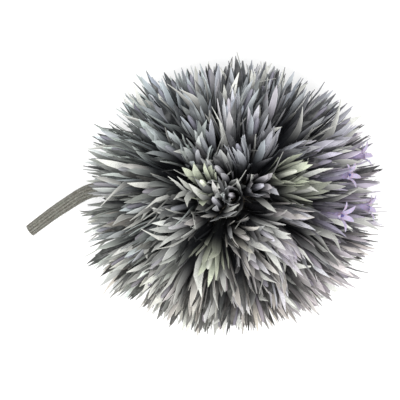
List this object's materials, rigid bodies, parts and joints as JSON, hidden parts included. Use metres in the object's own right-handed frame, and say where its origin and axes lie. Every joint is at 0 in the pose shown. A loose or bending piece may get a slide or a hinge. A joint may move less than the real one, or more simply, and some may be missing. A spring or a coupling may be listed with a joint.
{
  "type": "globe thistle flower head",
  "caption": "Dried globe thistle flower head lying on its side: a ball of pointed spiny capitula round a small receptacle, open violet florets near the apex, short cut stem.",
  "frame": {"origin": "on the surface that the head lies on, below the middle of its bounding box", "axes": "+X along the head's axis, from the stem to the apex; +Z up from the surface; the camera of the picture looks down -Z with +Y up"},
  "size_m": [0.053, 0.0406, 0.0394],
  "materials": {
    "bracts": "dry, matt, slate blue-grey to taupe, with pale papery edges",
    "petals": "soft, dry, violet",
    "stem": "ribbed, with a thin grey felt",
    "receptacle": "dry, pitted, straw brown",
    "involucre": "dry, straw coloured scales"
  },
  "bodies": {
    "root": {"stem": "stem", "receptacle": "receptacle", "involucre": "involucre", "capitula_01": "bracts", "capitula_02": "bracts", "capitula_03": "bracts", "capitula_04": "bracts", "capitula_05": "bracts", "capitula_06": "bracts", "capitula_07": "bracts", "capitula_08": "bracts", "capitula_09": "bracts", "capitula_10": "bracts", "capitula_11": "bracts", "capitula_12": "bracts", "capitula_13": "bracts", "capitula_14": "bracts", "capitula_15": "bracts", "capitula_16": "bracts", "capitula_17": "bracts", "capitula_18": "bracts", "capitula_19": "bracts", "capitula_20": "bracts", "capitula_21": "bracts", "capitula_22": "bracts", "capitula_23": "bracts", "capitula_24": "bracts", "capitula_25": "bracts", "capitula_26": "bracts", "capitula_27": "bracts", "capitula_28": "bracts", "capitula_29": "bracts", "capitula_30": "bracts", "capitula_31": "bracts", "capitula_32": "bracts", "capitula_33": "bracts", "capitula_34": "bracts", "capitula_35": "bracts", "capitula_36": "bracts", "capitula_37": "bracts", "capitula_38": "bracts", "capitula_39": "bracts", "capitula_40": "bracts", "capitula_41": "bracts", "capitula_42": "bracts", "capitula_43": "bracts", "capitula_44": "bracts", "capitula_45": "bracts", "capitula_46": "bracts", "capitula_47": "bracts", "capitula_48": "bracts", "capitula_49": "bracts", "capitula_50": "bracts", "capitula_51": "bracts", "capitula_52": "bracts", "open_floret_1": "petals", "open_floret_2": "petals", "open_floret_3": "petals", "open_floret_4": "petals"}
  },
  "joints": []
}
